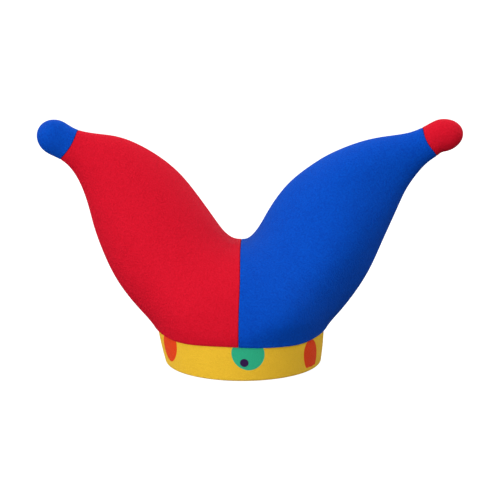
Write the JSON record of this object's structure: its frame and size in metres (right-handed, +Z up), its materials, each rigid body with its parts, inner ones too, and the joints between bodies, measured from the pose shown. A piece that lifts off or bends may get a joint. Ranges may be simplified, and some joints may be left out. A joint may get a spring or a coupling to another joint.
{
  "type": "jester hat",
  "caption": "Padded jester hat with a left and a right horn that end in round tips, and a spotted band round the head opening.",
  "frame": {"origin": "under the middle of the whole hat, on the surface that the band stands on", "axes": "+X from the red horn to the blue horn as worn seen from the front, +Y from the front to the back, +Z up"},
  "size_m": [0.4478, 0.2346, 0.2568],
  "materials": {
    "red_cloth": "fine brushed knit over foam, matt",
    "blue_cloth": "fine brushed knit over foam, matt",
    "yellow_cloth": "fine knit printed with round spots, matt"
  },
  "bodies": {
    "root": {"red_horn": "red_cloth", "blue_horn": "blue_cloth", "blue_tip": "blue_cloth", "red_tip": "red_cloth", "head_band": "yellow_cloth"}
  },
  "joints": []
}
